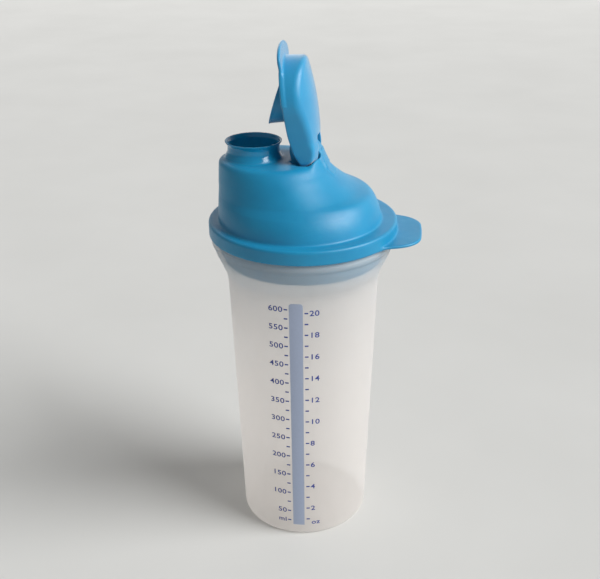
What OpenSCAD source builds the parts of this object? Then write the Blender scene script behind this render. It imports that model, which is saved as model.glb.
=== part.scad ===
// Protein shaker bottle: a graduated tumbler, a press-on domed lid with a
// spout and a pull tab, a flip cap hinged on the lid and a clip-in mixing wheel.
// Millimetres, +Z up. The base of the tumbler stands on z = 0, its axis is Z.
// The pull tab points along +X, the spout sits toward -X.
// The flip cap is drawn standing open.

/* [Tumbler] */
// height of the tumbler rim
rim_top = 180.6; // [150:0.1:220]
// outer radius at the base
base_r = 35.9; // [30:0.1:45]
// radius gained for each millimetre of height
wall_taper = 0.0318; // [0:0.0001:0.08]
// wall thickness
tumbler_wall = 1.8; // [1.2:0.1:3]
// thickness of the floor above the foot ring
floor_z = 3.2; // [2:0.1:6]
// height where the neck starts to flare
flare_z = 149; // [120:0.5:165]
// outer radius of the rim held inside the lid
rim_r = 47.5; // [40:0.1:55]
// outer radius of the bead below the lid
bead_r = 48.6; // [40:0.1:55]

/* [Lid] */
// height of the flange top
flange_top = 182.4; // [160:0.1:220]
// height of the flange lower edge
flange_bottom = 174.6; // [150:0.1:210]
// outer radius of the flange
flange_r = 49.8; // [42:0.1:60]
// inner radius of the flange skirt
flange_inner_r = 47.9; // [42:0.1:58]
// height of the flat area round the spout
plateau_z = 214; // [195:0.5:240]
// thickness of the dome
dome_wall = 1.9; // [1.2:0.1:3]
// reach of the pull tab from the axis
tab_reach = 63; // [52:0.5:75]
// half the width of the pull tab
tab_half_w = 23.5; // [10:0.5:30]
// thickness of the pull tab
tab_t = 1.6; // [1:0.1:4]

/* [Spout] */
// distance of the spout axis from the lid axis
spout_off = 25.3; // [15:0.1:30]
// height of the spout rim
spout_top = 223.2; // [215:0.1:240]
// outer radius of the flared spout lip
lip_r = 15; // [12:0.1:18]
// radius of the spout bore
spout_bore_r = 12.4; // [9:0.1:15]

/* [Hinge] */
// position of the hinge axis along X
hinge_x = 1.1; // [-5:0.1:10]
// height of the hinge axis
hinge_z = 219.8; // [215:0.1:235]
// radius of the hinge pins on the cap
pin_r = 2.2; // [1.2:0.05:3.5]
// running clearance round each pin
pin_gap = 0.06; // [0.02:0.01:0.1]
// width of the hinge post
post_w = 12; // [8:0.5:20]
// radius of the rounded head of the post
post_head_r = 6.6; // [4:0.1:8]

/* [Flip cap] */
// how far the cap is drawn open from closed
open_angle = 83; // [0:1:83]
// height of the closed cap rim
cap_rim_z = 214.3; // [210:0.1:225]
// height of the closed cap crown
cap_crown_z = 229.4; // [222:0.1:240]
// radius of the wide end of the cap
cap_wide_r = 20; // [16:0.1:26]
// centre of the wide end along X
cap_wide_x = -25.3; // [-30:0.1:-15]
// radius of the hinge end of the cap
cap_narrow_r = 13.5; // [10:0.1:20]
// centre of the hinge end along X
cap_narrow_x = -4.2; // [-10:0.1:10]
// wall thickness of the cap
cap_wall = 1.6; // [1:0.1:3]
// width of the slot that takes the hinge post
slot_w = 14; // [9:0.5:20]
// end of the slot along X on the closed cap
slot_end_x = -6; // [-10:0.1:0]
// outer radius of the plug that enters the spout
plug_r = 11.7; // [8:0.1:14]
// slant of the plug edge
plug_slant = 24; // [0:1:40]
// reach of the thumb tab beyond the centre of the wide end
thumb_reach = 27.8; // [21:0.1:35]
// half the width of the thumb tab
thumb_half_w = 16.5; // [6:0.1:20]
// thickness of the thumb tab
thumb_t = 1.6; // [1:0.1:3]

/* [Mixing wheel] */
// outer radius of the wheel
wheel_r = 37.9; // [30:0.1:42]
// underside of the wheel
wheel_z = 161; // [150:0.5:175]
// height of the wheel ring
wheel_h = 4; // [2:0.5:10]
// outer radius of the inner ring
hub_r = 13.8; // [8:0.1:24]
// number of spokes
spokes = 6; // [3:1:10]

/* [Hidden] */
fine = 96;
seat_r = wheel_r + 0.4;
trough_r = 9.6;
rim_in = rim_r - tumbler_wall;
skirt_r = rim_in - 0.4;
plug_x = -spout_off;
// dome sections: height, widest place along X, left edge, right edge, half the width across
dome_rows = [
  [182.0, -1.0, -44.6, 41.4, 43.9],
  [188.0, -1.0, -44.4, 40.2, 42.6],
  [193.0, -1.0, -44.2, 38.1, 40.2],
  [195.6, -1.0, -44.1, 36.3, 38.0],
  [197.0, -1.4, -44.0, 34.2, 36.7],
  [198.6, -2.2, -43.9, 29.4, 35.5],
  [201.4, -4.0, -43.9, 24.2, 33.5],
  [205.4, -6.6, -43.8, 18.8, 30.8],
  [208.6, -9.2, -43.7, 15.5, 28.7],
  [211.6, -11.7, -43.5, 13.1, 26.3],
  [213.2, -12.6, -42.8, 12.2, 25.2],
  [214.0, -12.8, -40.8, 11.6, 24.2]
];
dome_n = 60;

// outer radius of the plain tumbler wall at a height
function wall_r(z) = base_r + wall_taper * z;

// one point of a dome section, drawn in by a wall thickness
function dome_point(row, i, inset) =
  let (t = 360 * i / dome_n)
  let (reach = cos(t) > 0 ? row[3] - row[1] : row[1] - row[2])
  [row[1] + (reach - inset) * cos(t), (row[4] - inset) * sin(t)];

// closed solid through the dome sections
module dome_solid(inset, drop, foot) {
  rows = len(dome_rows);
  points = [
    for (r = [0:rows - 1])
      for (i = [0:dome_n - 1])
        let (p = dome_point(dome_rows[r], i, inset))
        [p[0], p[1], r == 0 ? foot : dome_rows[r][0] - drop]
  ];
  sides = [
    for (r = [0:rows - 2])
      for (i = [0:dome_n - 1])
        let (j = (i + 1) % dome_n)
        each [
          [r * dome_n + i, (r + 1) * dome_n + i, (r + 1) * dome_n + j],
          [r * dome_n + i, (r + 1) * dome_n + j, r * dome_n + j]
        ]
  ];
  bottom = [[for (i = [0:dome_n - 1]) i]];
  top = [[for (i = [0:dome_n - 1]) rows * dome_n - 1 - i]];
  polyhedron(points, concat(sides, bottom, top));
}

// graduated tumbler with a tapered wall, a flared neck and a beaded rim
module tumbler() {
  color([0.86, 0.85, 0.82, 0.6])
    rotate_extrude($fn = fine)
      polygon([
        [0, 0],
        [26.0, 0],
        [26.6, 0.9],
        [30.4, 0.9],
        [31.0, 0],
        [33.4, 0],
        [35.0, 0.7],
        [wall_r(2.6), 2.6],
        [wall_r(flare_z), flare_z],
        [41.2, 152.5],
        [42.4, 155.8],
        [44.1, 159.8],
        [46.6, 165.6],
        [rim_r, 168.6],
        [bead_r - 0.5, 169.4],
        [bead_r, 170.2],
        [bead_r, 172.2],
        [bead_r - 0.5, 172.9],
        [rim_r, 173.0],
        [rim_r, rim_top - 0.7],
        [rim_r - 0.7, rim_top],
        [rim_in + 0.5, rim_top],
        [rim_in, rim_top - 0.7],
        [rim_in, 169.0],
        [44.7, 165.9],
        [42.3, 160.4],
        [40.7, 156.6],
        [39.5, 153.2],
        [wall_r(flare_z) - tumbler_wall, flare_z],
        [wall_r(6.6) - tumbler_wall, 6.6],
        [32.8, 4.2],
        [30.4, floor_z],
        [0, floor_z]
      ]);
}

// flange plate with the outer skirt, the sealing skirt and the wheel seat
module lid_rim() {
  rotate_extrude($fn = fine)
    polygon([
      [seat_r, 161],
      [skirt_r - 3.1, 161],
      [skirt_r, 169],
      [skirt_r, 181.0],
      [flange_inner_r, 181.0],
      [flange_inner_r, flange_bottom],
      [flange_r - 0.3, flange_bottom],
      [flange_r, flange_bottom + 0.3],
      [flange_r, flange_top - 2.0],
      [flange_r - 0.5, flange_top - 0.8],
      [flange_r - 1.6, flange_top],
      [38, flange_top],
      [38, 181.0],
      [skirt_r - 1.5, 181.0],
      [skirt_r - 1.5, 170.5],
      [40.3, 164.5],
      [seat_r, 164.5]
    ]);
}

// outline of the pull tab with its fillets into the flange
module tab_shape() {
  corner = 12;
  fillet = 8;
  fx = sqrt(pow(flange_r + fillet, 2) - pow(tab_half_w + fillet, 2));
  difference() {
    union() {
      translate([30, -tab_half_w + corner])
        square([tab_reach - 30, 2 * (tab_half_w - corner)]);
      translate([30, -tab_half_w])
        square([tab_reach - corner - 30, 2 * tab_half_w]);
      for (s = [-1, 1])
        translate([tab_reach - corner, s * (tab_half_w - corner)])
          circle(r = corner, $fn = 64);
      for (s = [0, 1])
        mirror([0, s])
          difference() {
            polygon([
              [38, tab_half_w - 1],
              [fx, tab_half_w - 1],
              [fx, tab_half_w + fillet],
              [fx * flange_r / (flange_r + fillet),
               (tab_half_w + fillet) * flange_r / (flange_r + fillet)]
            ]);
            translate([fx, tab_half_w + fillet])
              circle(r = fillet, $fn = 64);
          }
    }
    circle(r = flange_r - 1.0, $fn = fine);
  }
}

// spout with a flared foot and a flared lip
module spout_body() {
  translate([-spout_off, 0, 0])
    rotate_extrude($fn = fine)
      polygon([
        [spout_bore_r - 1, plateau_z - 2.4],
        [16.2, plateau_z - 2.4],
        [16.2, plateau_z - 0.3],
        [15.0, plateau_z + 1.0],
        [14.2, plateau_z + 2.6],
        [13.6, plateau_z + 4.2],
        [13.5, plateau_z + 6.4],
        [14.3, spout_top - 1.0],
        [lip_r, spout_top - 0.2],
        [lip_r - 0.4, spout_top],
        [spout_bore_r - 1, spout_top]
      ]);
}

// upright post that carries the hinge
module hinge_post() {
  translate([0, post_w / 2, 0])
    rotate([90, 0, 0])
      linear_extrude(post_w)
        polygon(concat(
          [
            [hinge_x - post_head_r, plateau_z - 4.2],
            [18.6, 205.0],
            [15.8, 208.0],
            [13.8, 210.2],
            [12.4, 212.4],
            [11.4, 214.8],
            [10.4, 217.4],
            [9.4, 220.8],
            [8.4, 222.8]
          ],
          [
            for (t = [42:12:174])
              [hinge_x + post_head_r * cos(t), hinge_z + post_head_r * sin(t)]
          ]
        ));
}

// cone that spreads the foot of the post into the dome
module post_flare() {
  translate([3, 0, 0])
    rotate_extrude($fn = 64)
      polygon([
        [0, 206],
        [13.6, 206],
        [8.9, 212],
        [8.2, 215],
        [6.6, 219],
        [0, 219]
      ]);
}

// space swept by the two ears of the cap, a body of revolution round the hinge axis
module ear_sweep(grow) {
  translate([hinge_x, 0, hinge_z])
    rotate([90, 0, 0])
      rotate_extrude($fn = 64)
        polygon([
          [0, -14.3 - grow],
          [6.3 + grow, -14.3 - grow],
          [7.1 + grow, -11.4],
          [8.6 + grow, -9.2],
          [trough_r + grow, -7.3],
          [trough_r + grow, 7.3],
          [8.6 + grow, 9.2],
          [7.1 + grow, 11.4],
          [6.3 + grow, 14.3 + grow],
          [0, 14.3 + grow]
        ]);
}

// outside of the lid before it is hollowed
module lid_outside() {
  lid_rim();
  dome_solid(0, 0, 182.0);
  spout_body();
  post_flare();
  translate([0, 0, flange_bottom + 0.1])
    linear_extrude(tab_t)
      tab_shape();
}

// one-piece lid: flange, dome, spout, hinge post, pull tab and sealing skirt
module lid() {
  color([0.13, 0.52, 0.74])
    difference() {
      union() {
        difference() {
          lid_outside();
          difference() {
            dome_solid(dome_wall, 1.1, 180.2);
            ear_sweep(1.7);
          }
          ear_sweep(0);
        }
        hinge_post();
      }
      translate([-spout_off, 0, 200])
        cylinder(r = spout_bore_r, h = 30, $fn = fine);
      translate([hinge_x, 10, hinge_z])
        rotate([90, 0, 0])
          cylinder(r = pin_r + pin_gap, h = 20, $fn = 48);
    }
}

// plan outline of the closed cap, drawn in by a wall thickness
module cap_outline(inset) {
  lean = acos((cap_wide_r - cap_narrow_r) / (cap_narrow_x - cap_wide_x));
  r1 = cap_wide_r - inset;
  r2 = cap_narrow_r - inset;
  wide = [
    for (i = [0:40])
      let (t = lean + (360 - 2 * lean) * i / 40)
      [cap_wide_x + r1 * cos(t), r1 * sin(t)]
  ];
  narrow = [
    for (i = [0:24])
      let (t = -lean + 2 * lean * i / 24)
      [cap_narrow_x + r2 * cos(t), r2 * sin(t)]
  ];
  polygon(concat(wide, narrow));
}

// barrel that bounds the top of the cap, curved across and along it
module cap_crown(inset) {
  across = 35;
  along = 137.5;
  middle = -17.8;
  ends = [for (x = [-48:8:48]) [across - inset - x * x / (2 * along), x]];
  translate([middle, 0, cap_crown_z - across])
    rotate([0, 90, 0])
      rotate_extrude($fn = 180)
        polygon(concat([[0, -48]], ends, [[0, 48]]));
}

// plan outline of the thumb tab
module thumb_outline() {
  corner = 7;
  tip = cap_wide_x - thumb_reach;
  side = thumb_half_w - corner;
  near = [for (t = [0:9:90]) [tip + corner - corner * sin(t), -side - corner * cos(t)]];
  far = [for (t = [0:9:90]) [tip + corner - corner * cos(t), side + corner * sin(t)]];
  polygon(concat([[cap_wide_x - 10, -thumb_half_w]], near, far, [[cap_wide_x - 10, thumb_half_w]]));
}

// solid round ends of the two ears, about the hinge axis
module ear_ends() {
  difference() {
    intersection() {
      ear_sweep(-0.4);
      cap_crown(0.15);
      translate([hinge_x - 12, -13.2, cap_rim_z + 0.15])
        cube([24, 26.4, 24]);
    }
    translate([hinge_x - 13, -slot_w / 2 - 0.15, 200])
      cube([26, slot_w + 0.3, 40]);
  }
}

// cap in its closed place, before it is swung open
module cap_closed() {
  difference() {
    union() {
      intersection() {
        translate([0, 0, cap_rim_z])
          linear_extrude(30)
            cap_outline(0);
        cap_crown(0);
      }
      translate([0, 0, cap_rim_z + 0.1])
        linear_extrude(thumb_t)
          thumb_outline();
    }
    difference() {
      intersection() {
        translate([0, 0, cap_rim_z - 1])
          linear_extrude(30)
            cap_outline(cap_wall);
        cap_crown(cap_wall + 0.2);
      }
      translate([slot_end_x - cap_wall, -slot_w / 2 - cap_wall, 200])
        cube([40, slot_w + 2 * cap_wall, 40]);
    }
    translate([slot_end_x, -slot_w / 2, 200])
      cube([40, slot_w, 40]);
  }
  intersection() {
    translate([plug_x, 0, 200])
      difference() {
        cylinder(r = plug_r, h = 27.6, $fn = fine);
        translate([0, 0, -1])
          cylinder(r = plug_r - 1.2, h = 40, $fn = fine);
      }
    translate([plug_x - 12.4, -30, 214])
      rotate([0, plug_slant, 0])
        cube([60, 60, 40]);
  }
  ear_ends();
  for (s = [-1, 1])
    translate([hinge_x, s * (slot_w / 2 + 0.4), hinge_z])
      rotate([s * 90, 0, 0])
        cylinder(r = pin_r, h = 4.4, $fn = 48);
}

// flip cap, swung open about the hinge pins
module flip_cap() {
  color([0.20, 0.60, 0.82])
    translate([hinge_x, 0, hinge_z])
      rotate([0, open_angle, 0])
        translate([-hinge_x, 0, -hinge_z])
          cap_closed();
}

// plain ring of the mixing wheel
module wheel_ring(outer, inner, low, high) {
  rotate_extrude($fn = fine)
    polygon([
      [inner, low],
      [outer, low],
      [outer, high],
      [inner, high]
    ]);
}

// clip-in mixing wheel with spokes and an inner ring
module mixing_wheel() {
  color([0.16, 0.55, 0.77])
    translate([0, 0, wheel_z]) {
      wheel_ring(wheel_r, wheel_r - 2.2, 0, wheel_h);
      wheel_ring(hub_r, hub_r - 1.8, 0.3, wheel_h - 0.6);
      for (i = [0:spokes - 1])
        rotate([0, 0, (i + 0.5) * 360 / spokes])
          translate([hub_r - 0.9, -0.9, 0.6])
            cube([wheel_r - hub_r - 0.4, 1.8, wheel_h - 1.6]);
    }
}

tumbler();
lid();
flip_cap();
mixing_wheel();
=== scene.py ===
"""Looks of the shaker bottle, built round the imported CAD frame. Lengths in the shape functions are millimetres."""

import math

import bpy
import numpy as np
from mathutils import Matrix, Vector


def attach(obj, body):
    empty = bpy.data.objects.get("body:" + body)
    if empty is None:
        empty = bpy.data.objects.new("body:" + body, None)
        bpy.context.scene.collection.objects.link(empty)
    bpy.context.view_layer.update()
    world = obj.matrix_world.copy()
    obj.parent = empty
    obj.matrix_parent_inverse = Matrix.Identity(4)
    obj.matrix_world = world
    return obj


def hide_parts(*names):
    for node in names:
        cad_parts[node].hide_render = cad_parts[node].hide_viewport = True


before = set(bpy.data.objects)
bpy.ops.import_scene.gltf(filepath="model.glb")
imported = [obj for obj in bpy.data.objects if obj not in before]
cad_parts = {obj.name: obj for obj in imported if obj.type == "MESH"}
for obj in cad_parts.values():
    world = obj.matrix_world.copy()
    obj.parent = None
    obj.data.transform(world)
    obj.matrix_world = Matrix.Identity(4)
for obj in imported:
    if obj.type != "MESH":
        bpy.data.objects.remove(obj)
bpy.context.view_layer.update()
MM = 0.001

# ---------------------------------------------------------------- sizes
HINGE_X, HINGE_Z = 1.1, 219.8
OPEN = math.radians(83)
SPOUT_X, SPOUT_TOP, BORE = -25.3, 223.2, 12.6
PLATEAU = 214.0
FLANGE_R, FLANGE_TOP, FLANGE_LOW = 49.8, 182.4, 174.6
CAP_RIM, CAP_CROWN = 214.3, 229.4
BASE_R, TAPER, WALL = 35.9, 0.0318, 1.8


# ---------------------------------------------------------------- shape tools
def smin(a, b, k):
    """Smaller of two distances, blended into a fillet of about k."""
    h = np.maximum(k - np.abs(a - b), 0.0) / k
    return np.minimum(a, b) - h * h * k * 0.25


def smax(a, b, k):
    """Larger of two distances, blended into a rounded edge of about k."""
    return -smin(-a, -b, k)


def curve_table(rows, samples=400):
    """A smooth table through rows of (z, value...), by a monotone cubic."""
    rows = np.array(rows, float)
    z, v = rows[:, 0], rows[:, 1:]
    h = np.diff(z)[:, None]
    d = np.diff(v, axis=0) / h
    m = np.zeros_like(v)
    m[0], m[-1] = d[0], d[-1]
    for i in range(1, len(z) - 1):
        same = d[i - 1] * d[i] > 0
        w1, w2 = 2 * h[i] + h[i - 1], h[i] + 2 * h[i - 1]
        with np.errstate(divide="ignore", invalid="ignore"):
            mean = (w1 + w2) / (w1 / d[i - 1] + w2 / d[i])
        m[i] = np.where(same, mean, 0)
    zs = np.linspace(z[0], z[-1], samples)
    i = np.clip(np.searchsorted(z, zs, side="right") - 1, 0, len(z) - 2)
    t = ((zs - z[i]) / h[i, 0])[:, None]
    hh = h[i]
    out = (
        (2 * t**3 - 3 * t**2 + 1) * v[i]
        + (t**3 - 2 * t**2 + t) * hh * m[i]
        + (-2 * t**3 + 3 * t**2) * v[i + 1]
        + (t**3 - t**2) * hh * m[i + 1]
    )
    return zs, out


def read(table, column, z):
    return np.interp(z, table[0], table[1][:, column])


CORNERS = [(i, j, k) for i in (0, 1) for j in (0, 1) for k in (0, 1)]
EDGES = [
    (a, b)
    for a in range(8)
    for b in range(a + 1, 8)
    if sum(abs(CORNERS[a][n] - CORNERS[b][n]) for n in range(3)) == 1
]


def skin(fn, low, high, step):
    """Corners and quads of the surface where fn is zero, by surface nets, pulled onto the exact surface."""
    low = np.array(low, float)
    count = np.ceil((np.array(high) - low) / step).astype(int) + 1
    ax = [low[n] + step * np.arange(count[n]) for n in range(3)]
    field = np.empty(count, np.float32)
    for k in range(0, count[0], 24):
        x, y, z = np.meshgrid(ax[0][k : k + 24], ax[1], ax[2], indexing="ij")
        field[k : k + 24] = fn(x, y, z)
    inside = field < 0
    total = np.zeros(count - 1, np.int8)
    for i, j, k in CORNERS:
        total += inside[i : i + count[0] - 1, j : j + count[1] - 1, k : k + count[2] - 1]
    cells = np.argwhere((total > 0) & (total < 8))
    index = -np.ones(count - 1, np.int64)
    index[tuple(cells.T)] = np.arange(len(cells))
    value = np.stack([field[tuple((cells + c).T)] for c in CORNERS], 1)
    points = np.zeros((len(cells), 3))
    hits = np.zeros(len(cells))
    for a, b in EDGES:
        va, vb = value[:, a], value[:, b]
        cut = (va < 0) != (vb < 0)
        t = np.where(cut, va / np.where(cut, va - vb, 1), 0)[:, None]
        place = np.array(CORNERS[a]) + t * (np.array(CORNERS[b]) - np.array(CORNERS[a]))
        points += np.where(cut[:, None], place, 0)
        hits += cut
    points = low + step * (cells + points / hits[:, None])
    start = points.copy()
    e = 0.02
    for _ in range(4):
        x, y, z = points.T
        f = fn(x, y, z)
        g = np.stack(
            [fn(x + e, y, z) - f, fn(x, y + e, z) - f, fn(x, y, z + e) - f], 1
        ) / e
        move = -(f / np.maximum((g * g).sum(1), 0.05))[:, None] * g
        points = points + move
        away = points - start
        size = np.linalg.norm(away, axis=1, keepdims=True)
        points = start + away * np.minimum(1, 0.75 * step / np.maximum(size, 1e-9))
    quads = []
    for n in range(3):
        a = [slice(0, count[m] - 1) if m == n else slice(1, count[m] - 1) for m in range(3)]
        b = [slice(1, count[m]) if m == n else slice(1, count[m] - 1) for m in range(3)]
        first, second = inside[tuple(a)], inside[tuple(b)]
        u, v = (n + 1) % 3, (n + 2) % 3
        for flip, change in ((False, first & ~second), (True, ~first & second)):
            at = np.argwhere(change)
            at[:, u] += 1
            at[:, v] += 1
            ring = []
            for du, dv in ((-1, -1), (0, -1), (0, 0), (-1, 0)):
                c = at.copy()
                c[:, u] += du
                c[:, v] += dv
                ring.append(index[tuple(c.T)])
            q = np.stack(ring, 1)
            quads.append(q[:, ::-1] if flip else q)
    return points, np.concatenate(quads)


def mesh_object(name, verts, faces, smooth=True):
    """A Blender object from millimetre corners and faces, in metres."""
    me = bpy.data.meshes.new(name)
    me.from_pydata((np.asarray(verts) * MM).tolist(), [], np.asarray(faces).tolist())
    me.validate()
    me.update()
    if smooth:
        me.shade_smooth()
    ob = bpy.data.objects.new(name, me)
    bpy.context.scene.collection.objects.link(ob)
    return ob


# ---------------------------------------------------------------- lid
# height, widest place along X, left end, right end, half width across
DOME = curve_table(
    [
        (180.0, -1.0, -44.6, 41.8, 44.2),
        (183.0, -1.0, -44.5, 41.4, 43.8),
        (188.0, -1.0, -44.4, 40.2, 42.6),
        (193.0, -1.0, -44.2, 38.1, 40.2),
        (195.6, -1.0, -44.1, 36.3, 38.0),
        (196.8, -1.2, -44.0, 34.7, 36.9),
        (197.6, -1.6, -44.0, 32.6, 36.2),
        (198.6, -2.2, -43.9, 29.4, 35.5),
        (200.4, -3.2, -43.9, 25.8, 34.2),
        (202.6, -4.6, -43.9, 22.4, 32.7),
        (205.4, -6.6, -43.8, 18.8, 30.8),
        (208.0, -8.6, -43.7, 16.1, 29.1),
        (210.0, -10.4, -43.6, 14.2, 27.7),
        (212.0, -12.0, -43.5, 12.9, 26.2),
        (214.0, -13.0, -43.4, 11.9, 24.8),
        (217.4, -6.5, -43.3, 10.5, 17.6),
        (219.5, -3.0, -43.2, 9.8, 12.4),
        (221.5, -1.0, -43.0, 9.3, 8.4),
        (226.0, 0.0, -43.0, 9.0, 6.6),
    ],
    600,
)
SLOPE = (DOME[0], np.gradient(DOME[1], DOME[0], axis=0))


def dome(x, y, z):
    """Signed distance to the side of the dome tower, which goes on above the plateau."""
    c, left, right, half = (read(DOME, n, z) for n in range(4))
    dc, dl, dr, dh = (read(SLOPE, n, z) for n in range(4))
    ahead = x > c
    a = np.where(ahead, right - c, c - left)
    da = np.where(ahead, dr - dc, dc - dl)
    u = x - c
    q = np.sqrt((u / a) ** 2 + (y / half) ** 2 + 1e-6)
    gx, gy = u / a**2 / q, y / half**2 / q
    gz = -(u * dc / a**2 + u * u * da / a**3 + y * y * dh / half**3) / q
    return (q - 1) / np.sqrt(gx * gx + gy * gy + gz * gz + 1e-7)


def ear_reach(y):
    """Radius of the hinge end of the cap about the hinge axis, across the cap."""
    return np.interp(np.abs(y), [0, 7.0, 8.0, 9.2, 10.4, 11.6, 12.8, 13.8], [8.5, 8.4, 8.1, 7.6, 7.1, 6.7, 6.4, 6.0])


def ear_sweep(x, y, z):
    """Room that the hinge end of the cap swings through, with a little air."""
    around = np.hypot(x - HINGE_X, z - HINGE_Z) - ear_reach(y) - 0.4
    return smax(around * 0.85, np.abs(y) - 13.7, 1.0)


def hinge_post(x, y, z):
    """Upright post with a round head on the hinge axis."""
    back = np.interp(
        z,
        [202.0, 205.5, 208.0, 210.0, 212.0, 214.0, 217.4, 221.5, 223.0],
        [25.0, 19.4, 16.2, 14.2, 12.9, 11.9, 10.4, 9.1, 8.6],
    )
    stem = smax((x - back) * 0.9, z - 221.6, 3.5)
    stem = smax(stem, -5.2 - x, 1.0)
    head = np.hypot(x - HINGE_X, z - HINGE_Z) - 6.6
    return smax(smin(stem, head, 2.5), np.abs(y) - 6.0, 0.8)


NECK = curve_table(
    [
        (210.0, 16.6),
        (213.0, 16.2),
        (214.6, 15.3),
        (216.2, 14.4),
        (218.0, 13.6),
        (220.3, 13.45),
        (221.4, 13.8),
        (222.4, 14.5),
        (223.2, 15.0),
        (224.0, 15.2),
    ]
)


def lid(x, y, z):
    r = np.hypot(x, y)
    tower = dome(x, y, z)
    top = smin(z - PLATEAU, (z - PLATEAU - 3.0 * (x - 5.2)) / 3.2, 1.5)
    shell = smax(tower, top, 2.6)
    shell = np.maximum(shell, 181.2 - z)
    post = hinge_post(x, y, z)
    shell = smin(shell, np.maximum(post, 212 - z), 2.5)
    # spout neck with a rolled lip
    rs = np.hypot(x - SPOUT_X, y)
    neck = smax((rs - read(NECK, 0, z)) * 0.9, z - SPOUT_TOP, 0.7)
    neck = np.maximum(neck, 212.4 - z)
    shell = smin(shell, neck, 1.0)
    # flange
    rim = smax(smax(r - FLANGE_R, z - FLANGE_TOP, 1.8), FLANGE_LOW - z, 0.8)
    rim = smax(rim, -smax(r - 47.9, z - 181.0, 0.5), 0.4)
    outer = np.interp(z, [161, 169, 183], [42.2, 45.3, 45.3])
    inner = np.interp(z, [160, 164.5, 165.2, 170.5, 183], [38.3, 38.3, 40.4, 43.8, 43.8])
    skirt = smax(smax(r - outer, inner - r, 0.5), 161 - z, 0.6)
    skirt = np.maximum(skirt, z - 181.6)
    body = smin(shell, rim, 1.2)
    # pull tab
    dx, dy = np.abs(x - 44.0) - 4.7 + y * y / 300, np.abs(y) - 9.1
    flat = np.hypot(np.maximum(dx, 0), np.maximum(dy, 0)) + np.minimum(np.maximum(dx, dy), 0) - 14.1
    flat = smin(flat, r - FLANGE_R + 1.2, 9.0)
    tab = smax(flat, np.abs(z - 175.5) - 0.8, 0.7)
    tab = smax(np.maximum(tab, 48.9 - r), 34.0 - x, 2.0)
    body = smin(body, tab, 1.0)
    # hollow
    room = np.maximum(dome(x, y, np.maximum(z, 182.5)) + 1.9, z - (PLATEAU - 2.0))
    room = np.maximum(room, 170 - z)
    sweep = ear_sweep(x, y, z)
    room = smax(room, 1.8 - sweep, 1.0)
    body = smax(body, -room, 0.5)
    body = smin(body, skirt, 0.7)
    body = smax(body, -sweep, 0.7)
    body = smin(body, np.maximum(post, 207 - z), 0.5)
    inside = np.where(z > 219, np.maximum(read(NECK, 0, z) - 1.05, BORE), BORE)
    body = smax(body, -np.maximum((rs - inside) * 0.9, 205 - z), 0.5)
    pin_hole = np.hypot(x - HINGE_X, z - HINGE_Z) - 2.26
    return np.maximum(body, -np.maximum(pin_hole, np.abs(y) - 9))


# ---------------------------------------------------------------- flip cap
# radii of the closed cap's wide and narrow ends, and the distance between their centres
EGG_WIDE, EGG_NARROW, EGG_LENGTH = 20.3, 13.5, 21.7


def egg(x, z, y):
    """Signed distance to the closed cap's outline seen from above, a little wider towards the rim."""
    b = (EGG_WIDE - EGG_NARROW) / EGG_LENGTH
    a = np.sqrt(1 - b * b)
    py, px = x - SPOUT_X, np.abs(y)
    k = -b * px + a * py
    wide = np.hypot(px, py) - EGG_WIDE
    narrow = np.hypot(px, py - EGG_LENGTH) - EGG_NARROW
    side = px * a + py * b - EGG_WIDE
    return np.where(k < 0, wide, np.where(k > a * EGG_LENGTH, narrow, side)) - 0.085 * (221 - z)


def crown(x, y, z):
    """Arched top of the closed cap."""
    return np.hypot(y, z - CAP_CROWN + 35) - (35 - (x + 17.8) ** 2 / 275)


def cap(x, y, z):
    """Closed flip cap, before it is swung open."""
    plan = egg(x, z, y)
    over = crown(x, y, z)
    # the rim sweeps up a little toward the hinge
    base = CAP_RIM + 0.0105 * np.maximum(x + 12, 0) ** 2
    body = smax(smax(plan, over, 2.3), base - z, 0.7)
    # hinge end, round about the hinge axis
    around = np.hypot(x - HINGE_X, z - HINGE_Z) - ear_reach(y)
    end = x - HINGE_X - np.sqrt(np.maximum(ear_reach(y) ** 2 - (z - HINGE_Z) ** 2, 0))
    body = smax(body, end * 0.8, 1.5)
    ears = smax(smax(around * 0.85, np.abs(y) - 13.1, 1.6), smax(over - 0.3, base - z, 0.7), 1.0)
    body = smin(body, ears, 1.6)
    # broad thumb tab in the plane of the rim
    tx, ty = (x - SPOUT_X + 20.1) / 7.6, y / 16.5
    level = np.sqrt(tx * tx + ty * ty + 1e-6)
    oval = (level - 1) * level / np.sqrt((tx / 7.6) ** 2 + (ty / 16.5) ** 2 + 1e-7)
    lip = smax(smin(oval, plan, 5.0), np.abs(z - CAP_RIM - 0.8) - 0.8, 0.8)
    lip = np.maximum(lip, x - SPOUT_X)
    body = smin(body, lip, 1.2)
    room = smax(smax(plan + 1.6, over + 2.0, 2.0), 210 - z, 1)
    frame_wall = np.maximum(HINGE_X - 8.7 - x, np.abs(y) - 8.6)
    room = smax(room, -frame_wall, 1.0)
    room = smax(room, -around, 1.0)
    body = smax(body, -room, 0.6)
    slot = smax(HINGE_X - 7.4 - x, np.abs(y) - 7.0, 0.9)
    body = smax(body, -slot, 0.6)
    # slanted plug tube
    rp = np.hypot(x - SPOUT_X, y)
    slant = math.radians(24)
    under = (CAP_RIM - z) * math.cos(slant) - (x - SPOUT_X + 12.3) * math.sin(slant)
    bead = np.clip(1 + under / 1.2, 0, 1) * 0.25
    tube = smax(np.abs(rp - 11.4) - 0.5 - bead, under, 0.4)
    tube = np.maximum(tube, over + 1.2)
    body = smin(body, tube, 0.8)
    # hinge pins
    pin = smax(np.hypot(x - HINGE_X, z - HINGE_Z) - 2.2, np.abs(np.abs(y) - 5.2) - 2.2, 0.4)
    return np.minimum(body, pin)


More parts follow.
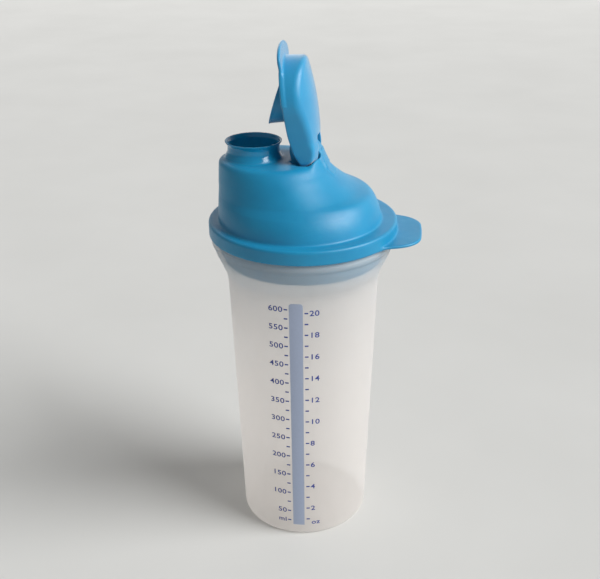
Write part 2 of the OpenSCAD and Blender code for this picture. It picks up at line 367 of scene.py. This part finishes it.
# ---------------------------------------------------------------- mixing wheel
def wheel(x, y, z):
    r = np.hypot(x, y)
    h = z - 161.0
    ring = smax(np.abs(r - 36.8) - 1.1, np.abs(h - 2.0) - 2.0, 0.8)
    hub = smax(np.abs(r - 12.9) - 0.9, np.abs(h - 1.85) - 1.55, 0.8)
    turn = np.arctan2(y, x) - math.radians(30)
    turn = (turn + math.pi / 6) % (math.pi / 3) - math.pi / 6
    spoke = smax(np.abs(r * np.sin(turn)) - 0.9, np.abs(h - 1.8) - 1.2, 0.8)
    spoke = np.maximum(spoke, np.abs(r - 24.8) - 11.5)
    return smin(smin(ring, hub, 0.5), spoke, 1.0)


# ---------------------------------------------------------------- tumbler
def wall_r(z):
    return BASE_R + TAPER * z


OUTER = curve_table(
    [
        (2.6, wall_r(2.6)),
        (30, wall_r(30)),
        (90, wall_r(90)),
        (140, wall_r(140)),
        (147, wall_r(147) + 0.05),
        (151, wall_r(151) + 0.35),
        (154, 41.75),
        (157, 42.95),
        (160, 44.2),
        (163, 45.5),
        (166, 46.8),
        (168.2, 47.4),
        (169.0, 47.6),
    ],
    600,
)


def tumbler_profile():
    """Closed outline of the tumbler wall, from the middle of the underside round to the middle of the floor."""
    p = [(0.0, 0.0), (12.0, 0.0), (25.6, 0.0), (26.0, 0.08), (26.5, 0.55), (27.2, 0.85)]
    p += [(29.6, 0.85), (30.3, 0.55), (30.7, 0.1), (31.1, 0.0), (33.0, 0.0)]
    for t in np.linspace(-82, 0, 9):
        a = math.radians(t)
        p.append((33.2 + 2.75 * math.cos(a), 2.75 + 2.75 * math.sin(a)))
    zs = np.concatenate([np.linspace(6, 144, 47), np.linspace(146, 168.4, 30)])
    p += [(float(np.interp(z, OUTER[0], OUTER[1][:, 0])), float(z)) for z in zs]
    for t in np.linspace(-75, 75, 11):
        a = math.radians(t)
        p.append((47.45 + 1.1 * math.cos(a), 171.1 + 1.75 * math.sin(a)))
    p += [(47.5, 173.3), (47.5, 176.5), (47.5, 179.6)]
    for t in np.linspace(20, 160, 8):
        a = math.radians(t)
        p.append((46.6 + 0.88 * math.cos(a), 179.75 + 0.85 * math.sin(a)))
    p += [(45.7, 179.4), (45.7, 174.0), (45.7, 169.4), (45.5, 168.3)]
    for z in np.linspace(167.4, 150.5, 24):
        s = (z - 150.5) / 16.9
        p.append((float(np.interp(z, OUTER[0], OUTER[1][:, 0])) - 1.8 - 0.15 * s, float(z)))
    p += [(wall_r(z) - WALL, z) for z in np.linspace(148, 8, 42)]
    for t in np.linspace(0, 84, 8):
        a = math.radians(t)
        p.append((30.9 + 3.35 * math.cos(a), 6.55 - 3.35 * math.sin(a)))
    p += [(24.0, 3.2), (10.0, 3.2), (0.0, 3.2)]
    return p


def revolve(name, profile, around=192):
    """Closed solid of revolution; the first and last points lie on the axis."""
    body = profile[1:-1]
    n = len(body)
    verts = [(0, 0, profile[0][1]), (0, 0, profile[-1][1])]
    for i in range(around):
        a = 2 * math.pi * i / around
        c, s = math.cos(a), math.sin(a)
        verts += [(r * c, r * s, z) for r, z in body]
    me = bpy.data.meshes.new(name)
    faces = []
    for i in range(around):
        j = (i + 1) % around
        a, b = 2 + i * n, 2 + j * n
        faces.append((0, b, a))
        faces.append((1, a + n - 1, b + n - 1))
        faces += [(a + k, b + k, b + k + 1, a + k + 1) for k in range(n - 1)]
    me.from_pydata([(x * MM, y * MM, z * MM) for x, y, z in verts], [], faces)
    me.validate()
    me.update()
    me.shade_smooth()
    ob = bpy.data.objects.new(name, me)
    bpy.context.scene.collection.objects.link(ob)
    return ob


# ---------------------------------------------------------------- printed scale
SCALE_TURN = math.radians(-89.1)


def mark_height(ml):
    """Height of the liquid for a volume, from the tumbler's inner taper."""
    a = BASE_R - WALL
    counted_from = 3.2253  # height that the volume is counted from
    return (((a + TAPER * counted_from) ** 3 + 3 * TAPER * ml * 1000 / math.pi) ** (1 / 3) - a) / TAPER


def wrap(ob, along, height, stand=0.05, thick=0.05):
    """Bends a flat print, drawn in the XY plane in millimetres, round the tumbler."""
    me = ob.data
    co = np.empty(len(me.vertices) * 3)
    me.vertices.foreach_get("co", co)
    co = co.reshape(-1, 3)
    z = height + co[:, 1]
    r = np.interp(z, OUTER[0], OUTER[1][:, 0]) + stand + thick * (co[:, 2] > 0)
    turn = SCALE_TURN + (along + co[:, 0]) / (BASE_R + TAPER * height)
    out = np.stack([r * np.cos(turn), r * np.sin(turn), z], 1) * MM
    me.vertices.foreach_set("co", out.ravel())
    me.update()


# outline of a short tick of the scale
TICK = [(-0.95, -0.38), (0.95, -0.38), (0.95, 0.38), (-0.95, 0.38)]


def flat_print(name, outline, along, height, split=0.6):
    """A thin printed patch from a flat outline."""
    import bmesh

    bm = bmesh.new()
    low = [bm.verts.new((x, y, 0)) for x, y in outline]
    face = bm.faces.new(low)
    grown = bmesh.ops.extrude_face_region(bm, geom=[face])
    for v in grown["geom"]:
        if isinstance(v, bmesh.types.BMVert):
            v.co.z = 1.0
    xs = [x for x, _ in outline]
    ys = [y for _, y in outline]
    cuts = [(Vector((x, 0, 0)), Vector((1, 0, 0))) for x in np.arange(min(xs) + split, max(xs), split)]
    cuts += [(Vector((0, y, 0)), Vector((0, 1, 0))) for y in np.arange(min(ys) + 6, max(ys), 6)]
    for place, normal in cuts:
        everything = bm.verts[:] + bm.edges[:] + bm.faces[:]
        bmesh.ops.bisect_plane(bm, geom=everything, plane_co=place, plane_no=normal)
    bmesh.ops.dissolve_degenerate(bm, dist=2e-3, edges=bm.edges[:])
    bmesh.ops.recalc_face_normals(bm, faces=bm.faces[:])
    me = bpy.data.meshes.new(name)
    bm.to_mesh(me)
    bm.free()
    ob = bpy.data.objects.new(name, me)
    bpy.context.scene.collection.objects.link(ob)
    wrap(ob, along, height)
    return ob


def label(name, text, size, along, height, align):
    """Digits or a unit, cut from the built-in font and bent round the tumbler."""
    cu = bpy.data.curves.new(name + "_curve", "FONT")
    cu.body = text
    cu.size = size
    cu.align_x = align
    cu.align_y = "CENTER"
    cu.space_character = 1.08
    cu.offset = 0.06
    cu.extrude = 0.5
    cu.resolution_u = 6
    tmp = bpy.data.objects.new(name + "_curve", cu)
    bpy.context.scene.collection.objects.link(tmp)
    got = bpy.context.evaluated_depsgraph_get()
    me = bpy.data.meshes.new_from_object(tmp.evaluated_get(got))
    bpy.data.objects.remove(tmp)
    import bmesh

    bm = bmesh.new()
    bm.from_mesh(me)
    bmesh.ops.remove_doubles(bm, verts=bm.verts[:], dist=1e-4)
    xs = [v.co.x for v in bm.verts]
    ys = [v.co.y for v in bm.verts]
    middle = (min(ys) + max(ys)) / 2
    for v in bm.verts:
        v.co.x *= 1.14
        v.co.y -= middle
    for x in np.arange(min(xs) * 1.14 + 0.5, max(xs) * 1.14, 0.8):
        everything = bm.verts[:] + bm.edges[:] + bm.faces[:]
        bmesh.ops.bisect_plane(bm, geom=everything, plane_co=Vector((x, 0, 0)), plane_no=Vector((1, 0, 0)))
    bmesh.ops.dissolve_degenerate(bm, dist=2e-3, edges=bm.edges[:])
    bm.to_mesh(me)
    bm.free()
    me.name = name
    ob = bpy.data.objects.new(name, me)
    bpy.context.scene.collection.objects.link(ob)
    wrap(ob, along, height)
    return ob


def join(name, parts):
    """One object from several."""
    bpy.ops.object.select_all(action="DESELECT")
    for p in parts:
        p.select_set(True)
    bpy.context.view_layer.objects.active = parts[0]
    bpy.ops.object.join()
    parts[0].name = name
    parts[0].data.name = name
    return parts[0]


# ---------------------------------------------------------------- materials
class Nodes:
    """Short form for building node trees."""

    def __init__(self, name):
        self.mat = bpy.data.materials.new(name)
        self.mat.use_nodes = True
        self.tree = self.mat.node_tree
        self.tree.nodes.clear()
        self.out = self.add("ShaderNodeOutputMaterial")

    def add(self, kind, **values):
        node = self.tree.nodes.new(kind)
        for key, value in values.items():
            if hasattr(node, key):
                setattr(node, key, value)
            else:
                node.inputs[key.replace("_", " ")].default_value = value
        return node

    def link(self, a, b):
        self.tree.links.new(a, b)

    def math(self, op, a, b=None, c=None):
        node = self.add("ShaderNodeMath", operation=op)
        for n, v in enumerate((a, b, c)):
            if v is None:
                continue
            if isinstance(v, (int, float)):
                node.inputs[n].default_value = v
            else:
                self.link(v, node.inputs[n])
        return node.outputs[0]

    def noise(self, where, scale, detail=4.0, rough=0.55):
        node = self.add("ShaderNodeTexNoise")
        node.inputs["Scale"].default_value = scale
        node.inputs["Detail"].default_value = detail
        node.inputs["Roughness"].default_value = rough
        self.link(where, node.inputs["Vector"])
        return node.outputs["Fac"]

    def span(self, value, low, high, start, end):
        node = self.add("ShaderNodeMapRange")
        node.inputs["From Min"].default_value = low
        node.inputs["From Max"].default_value = high
        node.inputs["To Min"].default_value = start
        node.inputs["To Max"].default_value = end
        self.link(value, node.inputs["Value"])
        return node.outputs["Result"]

    def ramp(self, value, stops):
        node = self.add("ShaderNodeValToRGB")
        for n, (place, colour) in enumerate(stops):
            stop = node.color_ramp.elements[n] if n < 2 else node.color_ramp.elements.new(place)
            stop.position = place
            stop.color = (*colour, 1)
        self.link(value, node.inputs["Fac"])
        return node.outputs["Color"]

    def bump(self, height, strength, distance):
        node = self.add("ShaderNodeBump")
        node.inputs["Strength"].default_value = strength
        node.inputs["Distance"].default_value = distance
        self.link(height, node.inputs["Height"])
        return node.outputs["Normal"]


def blue_plastic(name, dark, light, rough, grain, gloss_zone=None, haze=0.05):
    """Satin moulded plastic: slow colour drift, fine spark-eroded grain and soft handling marks."""
    n = Nodes(name)
    place = n.add("ShaderNodeTexCoord").outputs["Object"]
    drift = n.noise(place, 55, 3)
    fine = n.noise(place, 2600, 2, 0.7)
    marks = n.noise(place, 240, 5, 0.65)
    colour = n.ramp(drift, [(0.3, dark), (0.7, light)])
    shader = n.add("ShaderNodeBsdfPrincipled")
    n.link(colour, shader.inputs["Base Color"])
    gloss = n.span(marks, 0.3, 0.7, rough - 0.03, rough + 0.05)
    strength = n.math("MULTIPLY", fine, grain)
    if gloss_zone:
        cx, z0, z1, r1 = gloss_zone
        split = n.add("ShaderNodeSeparateXYZ")
        n.link(place, split.inputs[0])
        dx = n.math("SUBTRACT", split.outputs[0], cx)
        dy = split.outputs[1]
        far = n.math("SQRT", n.math("ADD", n.math("MULTIPLY", dx, dx), n.math("MULTIPLY", dy, dy)))
        near = n.span(far, r1, r1 + 0.0008, 1, 0)
        up = n.span(split.outputs[2], z0, z1, 0, 1)
        zone = n.math("MULTIPLY", near, up)
        keep = n.math("SUBTRACT", 1, zone)
        gloss = n.math("ADD", n.math("MULTIPLY", gloss, keep), n.math("MULTIPLY", zone, 0.16))
        strength = n.math("MULTIPLY", strength, keep)
    n.link(gloss, shader.inputs["Roughness"])
    n.link(n.bump(strength, 0.35, 0.0002), shader.inputs["Normal"])
    shader.inputs["IOR"].default_value = 1.5
    shader.inputs["Sheen Weight"].default_value = haze
    shader.inputs["Sheen Roughness"].default_value = 0.4
    shader.inputs["Subsurface Weight"].default_value = 0.12
    shader.inputs["Subsurface Radius"].default_value = (0.0006, 0.0015, 0.0025)
    shader.inputs["Subsurface Scale"].default_value = 1.0
    n.link(shader.outputs[0], n.out.inputs["Surface"])
    return n.mat


def frosted(name, warm, share, clear_share):
    """Milky translucent wall: scattered light, some straight sight through it and a fine moulded grain."""
    n = Nodes(name)
    place = n.add("ShaderNodeTexCoord").outputs["Object"]
    cloud = n.noise(place, 30, 4)
    fine = n.noise(place, 1500, 3, 0.6)
    colour = n.ramp(cloud, [(0.3, tuple(c * 0.97 for c in warm)), (0.7, warm)])
    normal = n.bump(fine, 0.25, 0.0002)
    base = n.add("ShaderNodeBsdfPrincipled")
    n.link(colour, base.inputs["Base Color"])
    n.link(n.span(fine, 0.3, 0.7, 0.30, 0.38), base.inputs["Roughness"])
    n.link(normal, base.inputs["Normal"])
    base.inputs["IOR"].default_value = 1.49
    through = n.add("ShaderNodeBsdfTranslucent")
    n.link(colour, through.inputs["Color"])
    n.link(normal, through.inputs["Normal"])
    clear = n.add("ShaderNodeBsdfTransparent")
    clear.inputs["Color"].default_value = (0.99, 0.985, 0.98, 1)
    a = n.add("ShaderNodeMixShader")
    a.inputs["Fac"].default_value = share
    n.link(base.outputs[0], a.inputs[1])
    n.link(through.outputs[0], a.inputs[2])
    b = n.add("ShaderNodeMixShader")
    b.inputs["Fac"].default_value = clear_share
    n.link(a.outputs[0], b.inputs[1])
    n.link(clear.outputs[0], b.inputs[2])
    n.link(b.outputs[0], n.out.inputs["Surface"])
    return n.mat


def ink(name, colour, even=0.86):
    """Screen-printed ink with slight unevenness in its film."""
    n = Nodes(name)
    place = n.add("ShaderNodeTexCoord").outputs["Object"]
    speck = n.noise(place, 900, 4, 0.6)
    dark = tuple(c * even for c in colour)
    tint = n.ramp(speck, [(0.3, dark), (0.75, colour)])
    shader = n.add("ShaderNodeBsdfPrincipled")
    n.link(tint, shader.inputs["Base Color"])
    n.link(n.span(speck, 0.3, 0.7, 0.38, 0.5), shader.inputs["Roughness"])
    n.link(shader.outputs[0], n.out.inputs["Surface"])
    return n.mat


def floor_material():
    n = Nodes("floor_paper")
    place = n.add("ShaderNodeTexCoord").outputs["Object"]
    tone = n.noise(place, 6, 3)
    shader = n.add("ShaderNodeBsdfPrincipled")
    n.link(n.ramp(tone, [(0.3, (0.60, 0.595, 0.575)), (0.7, (0.63, 0.625, 0.605))]), shader.inputs["Base Color"])
    shader.inputs["Roughness"].default_value = 0.75
    n.link(shader.outputs[0], n.out.inputs["Surface"])
    return n.mat


# ---------------------------------------------------------------- build
LID_BLUE = blue_plastic(
    "lid_satin", (0.004, 0.225, 0.425), (0.006, 0.255, 0.465), 0.40, 1.0, (SPOUT_X * MM, 0.2142, 0.2156, 0.0166)
)
CAP_BLUE = blue_plastic("cap_satin", (0.006, 0.25, 0.48), (0.010, 0.28, 0.52), 0.38, 1.0, haze=1.0)
WHEEL_BLUE = blue_plastic("wheel_satin", (0.006, 0.23, 0.44), (0.008, 0.26, 0.48), 0.4, 1.0)
FROSTED = frosted("frosted_wall", (0.955, 0.93, 0.91), 0.66, 0.30)
INNER = frosted("frosted_inside", (0.95, 0.92, 0.90), 0.6, 0.88)
INK = ink("scale_ink", (0.028, 0.055, 0.30))
STRIP = ink("strip_ink", (0.37, 0.43, 0.57), 0.95)

points, quads = skin(lid, (-51.5, -51.5, 159.5), (64.5, 51.5, 229.5), 0.56)
lid_piece = mesh_object("lid_moulding", points, quads)
lid_piece.data.materials.append(LID_BLUE)
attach(lid_piece, "lid_body")
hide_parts("lid")

points, quads = skin(cap, (-56, -22.5, 200), (12.5, 22.5, 232), 0.4)
turn = np.array([[math.cos(OPEN), 0, math.sin(OPEN)], [0, 1, 0], [-math.sin(OPEN), 0, math.cos(OPEN)]])
axis = np.array([HINGE_X, 0, HINGE_Z])
points = (points - axis) @ turn.T + axis
cap_piece = mesh_object("flip_cap_moulding", points, quads)
cap_piece.data.materials.append(CAP_BLUE)
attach(cap_piece, "cap_body")
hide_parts("flip_cap")

points, quads = skin(wheel, (-39, -39, 160), (39, 39, 166), 0.45)
wheel_piece = mesh_object("mixing_wheel_moulding", points, quads)
wheel_piece.data.materials.append(WHEEL_BLUE)
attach(wheel_piece, "wheel_body")
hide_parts("mixing_wheel")

tumbler_piece = revolve("tumbler_moulding", tumbler_profile())
tumbler_piece.data.materials.append(FROSTED)
tumbler_piece.data.materials.append(INNER)
for face in tumbler_piece.data.polygons:
    out = face.normal.x * face.center.x + face.normal.y * face.center.y
    if face.center.z > 0.0032 and out < 0 and face.center.z < 0.1795:
        face.material_index = 1
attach(tumbler_piece, "tumbler_body")
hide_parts("tumbler")

marks = []
for ml in range(25, 601, 25):
    z = mark_height(ml)
    marks.append(flat_print("tick", TICK, -5.35, z))
    if ml % 50 == 0:
        marks.append(label("digits", str(ml), 4.4, -6.9, z, "RIGHT"))
for oz in range(1, 21):
    z = mark_height(oz * 29.5735)
    marks.append(flat_print("tick", TICK, 5.35, z))
    if oz % 2 == 0:
        marks.append(label("digits", str(oz), 4.4, 6.9, z, "LEFT"))
marks.append(label("digits", "ml", 4.2, -7.0, mark_height(25), "RIGHT"))
marks.append(label("digits", "oz", 4.2, 7.2, mark_height(25) - 1.6, "LEFT"))
scale_piece = join("scale_marks", marks)
scale_piece.data.materials.clear()
scale_piece.data.materials.append(INK)
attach(scale_piece, "tumbler_body")

low, high, half, corner = 7.0, 150.2, 3.4, 1.6
outline = [(-half, low), (half, low)]
for t in np.linspace(0, 90, 7):
    a = math.radians(t)
    outline.append((half - corner + corner * math.cos(a), high - corner + corner * math.sin(a)))
for t in np.linspace(90, 180, 7):
    a = math.radians(t)
    outline.append((-half + corner + corner * math.cos(a), high - corner + corner * math.sin(a)))
middle = (low + high) / 2
strip_piece = flat_print("scale_strip", [(x, y - middle) for x, y in outline], 0.0, middle)
strip_piece.data.materials.append(STRIP)
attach(strip_piece, "tumbler_body")

# ---------------------------------------------------------------- stage
def plane(name, size, place, material):
    me = bpy.data.meshes.new(name)
    s = size / 2
    me.from_pydata([(-s, -s, 0), (s, -s, 0), (s, s, 0), (-s, s, 0)], [], [(0, 1, 2, 3)])
    ob = bpy.data.objects.new(name, me)
    ob.location = place
    bpy.context.scene.collection.objects.link(ob)
    me.materials.append(material)
    return ob


floor = plane("floor", 12.0, (0, 0, -0.0002), floor_material())


def soft_light(name, place, target, size, power, colour):
    data = bpy.data.lights.new(name, "AREA")
    data.shape = "RECTANGLE"
    data.size, data.size_y = size
    data.energy = power
    data.color = colour
    ob = bpy.data.objects.new(name, data)
    ob.location = place
    ob.rotation_euler = (Vector(target) - Vector(place)).to_track_quat("-Z", "Y").to_euler()
    bpy.context.scene.collection.objects.link(ob)
    return ob


soft_light("back_wall", (0, 3.2, 1.2), (0, 0, 0.6), (6.0, 2.4), 30.0, (1.0, 0.99, 0.97))
sun = bpy.data.lights.new("window", "SUN")
sun.energy = 4.1
sun.angle = math.radians(42)
sun.color = (0.985, 0.995, 1.0)
sun_ob = bpy.data.objects.new("window", sun)
sun_ob.rotation_euler = (-Vector((0.80, -0.17, 0.57))).to_track_quat("-Z", "Y").to_euler()
bpy.context.scene.collection.objects.link(sun_ob)

world = bpy.data.worlds.new("studio")
bpy.context.scene.world = world
world.use_nodes = True
world.node_tree.nodes["Background"].inputs["Color"].default_value = (0.95, 0.955, 0.96, 1)
world.node_tree.nodes["Background"].inputs["Strength"].default_value = 0.26
bpy.context.scene.view_settings.view_transform = "Standard"

camera = bpy.data.cameras.new("camera")
camera.lens = 55.35
camera.sensor_width = 36
camera_ob = bpy.data.objects.new("camera", camera)
bpy.context.scene.collection.objects.link(camera_ob)
swing, pitch, roll = math.radians(6.5), math.radians(25.11), math.radians(-0.52)
yaw = math.radians(-0.235)
ahead = Vector((math.sin(yaw) * math.cos(pitch), math.cos(yaw) * math.cos(pitch), -math.sin(pitch)))
side = Vector((math.cos(yaw), -math.sin(yaw), 0))
up = side.cross(ahead)
c, s = math.cos(roll), math.sin(roll)
side, up = side * c + up * s, up * c - side * s
place = Vector((0, -0.45883, 0.35429))
spin = Matrix.Rotation(swing, 3, "Z")
side, up, ahead, place = spin @ side, spin @ up, spin @ ahead, spin @ place
camera_ob.matrix_world = Matrix(
    (
        (side.x, up.x, -ahead.x, place.x),
        (side.y, up.y, -ahead.y, place.y),
        (side.z, up.z, -ahead.z, place.z),
        (0, 0, 0, 1),
    )
)
bpy.context.scene.camera = camera_ob
